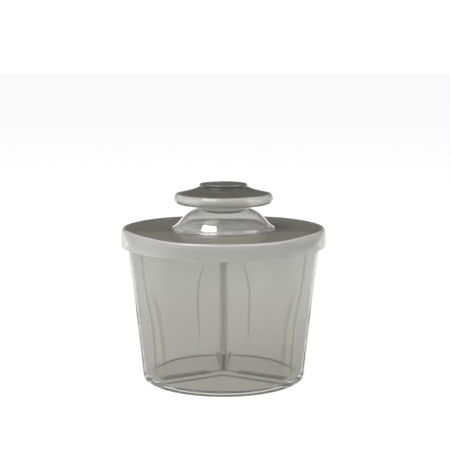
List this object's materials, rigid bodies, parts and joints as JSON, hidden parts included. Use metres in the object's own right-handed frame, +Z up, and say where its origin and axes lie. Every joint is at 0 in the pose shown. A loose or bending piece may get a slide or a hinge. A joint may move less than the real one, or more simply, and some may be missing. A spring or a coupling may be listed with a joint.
{
  "type": "formula dispenser",
  "caption": "Round drafted tub with a Y divider for powder portions, a lobed lid that turns to choose a compartment, a clear bell spout and a mushroom cap.",
  "frame": {"origin": "on the tub's axis, on the flat underside that rests on the table", "axes": "+Z up along the tub's axis and the lid's turning axis; +X to the right and -Y towards the viewer, with one divider wall pointing to +Y"},
  "size_m": [0.1094, 0.1092, 0.1042],
  "materials": {
    "smoky_body": "smoky grey translucent moulding, glossy, faint flow marks",
    "smoky_divider": "smoky grey translucent moulding, satin gloss",
    "smoky_lid": "smoky grey translucent moulding, polished",
    "smoky_cap": "smoky grey translucent moulding, polished",
    "clear_spout": "clear hard plastic, polished",
    "soft_seal": "soft translucent silicone, matt"
  },
  "bodies": {
    "tub_body": {"tub": "smoky_body", "divider": "smoky_divider"},
    "seal_ring": {"lid_seal": "soft_seal"},
    "lid_body": {"lid": "smoky_lid", "pour_spout": "clear_spout"},
    "cap_body": {"cap": "smoky_cap", "cap_liner": "soft_seal"}
  },
  "joints": [
    {"name": "lid_lift", "type": "slide", "parent": "tub_body", "child": "seal_ring", "axis": [0, 0, 1], "range_m": [0, 0.05]},
    {"name": "lid_turn", "type": "hinge", "parent": "seal_ring", "child": "lid_body", "pos_m": [0, 0, 0.0765], "axis": [0, 0, 1], "continuous": true},
    {"name": "cap_lift", "type": "slide", "parent": "lid_body", "child": "cap_body", "axis": [0, 0, 1], "range_m": [0, 0.035]}
  ]
}
